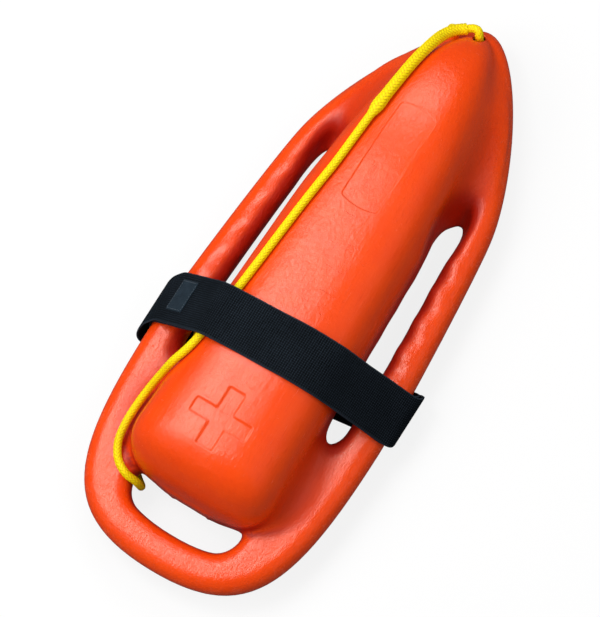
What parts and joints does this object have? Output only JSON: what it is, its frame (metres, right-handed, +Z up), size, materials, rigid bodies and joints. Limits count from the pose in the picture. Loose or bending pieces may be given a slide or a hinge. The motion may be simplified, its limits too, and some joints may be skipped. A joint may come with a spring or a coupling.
{
  "type": "rescue can buoy",
  "caption": "Rigid moulded rescue float with three hand grips, a nose hole, a tow rope along its back and a wide shoulder strap wound round its middle.",
  "frame": {"origin": "under the middle of the float, in the plane of the strap's lowest face", "axes": "+Y to the nose, +X to the right as seen from behind, +Z up"},
  "size_m": [0.3018, 0.679, 0.1407],
  "materials": {
    "hull_plastic": "moulded polyethylene, satin, with fine mould grain",
    "core_foam": "closed-cell foam",
    "plug_plastic": "moulded, matte",
    "rope_yellow": "hollow-braid polypropylene",
    "strap_webbing": "ribbed polyester webbing",
    "label_cloth": "woven, bare",
    "ring_steel": "stainless wire, welded",
    "tab_webbing": "narrow polyester webbing"
  },
  "bodies": {
    "float": {"hull_shell": "hull_plastic", "foam_core": "core_foam", "fill_plug": "plug_plastic", "tow_rope": "rope_yellow", "shoulder_strap": "strap_webbing", "strap_label": "label_cloth", "ring_tab": "tab_webbing"},
    "ring": {"strap_ring": "ring_steel"}
  },
  "joints": [
    {"name": "ring_turn", "type": "hinge", "parent": "float", "child": "ring", "pos_m": [-0.088, -0.07, 0.0307], "axis": [1, 0, 0], "continuous": true}
  ]
}
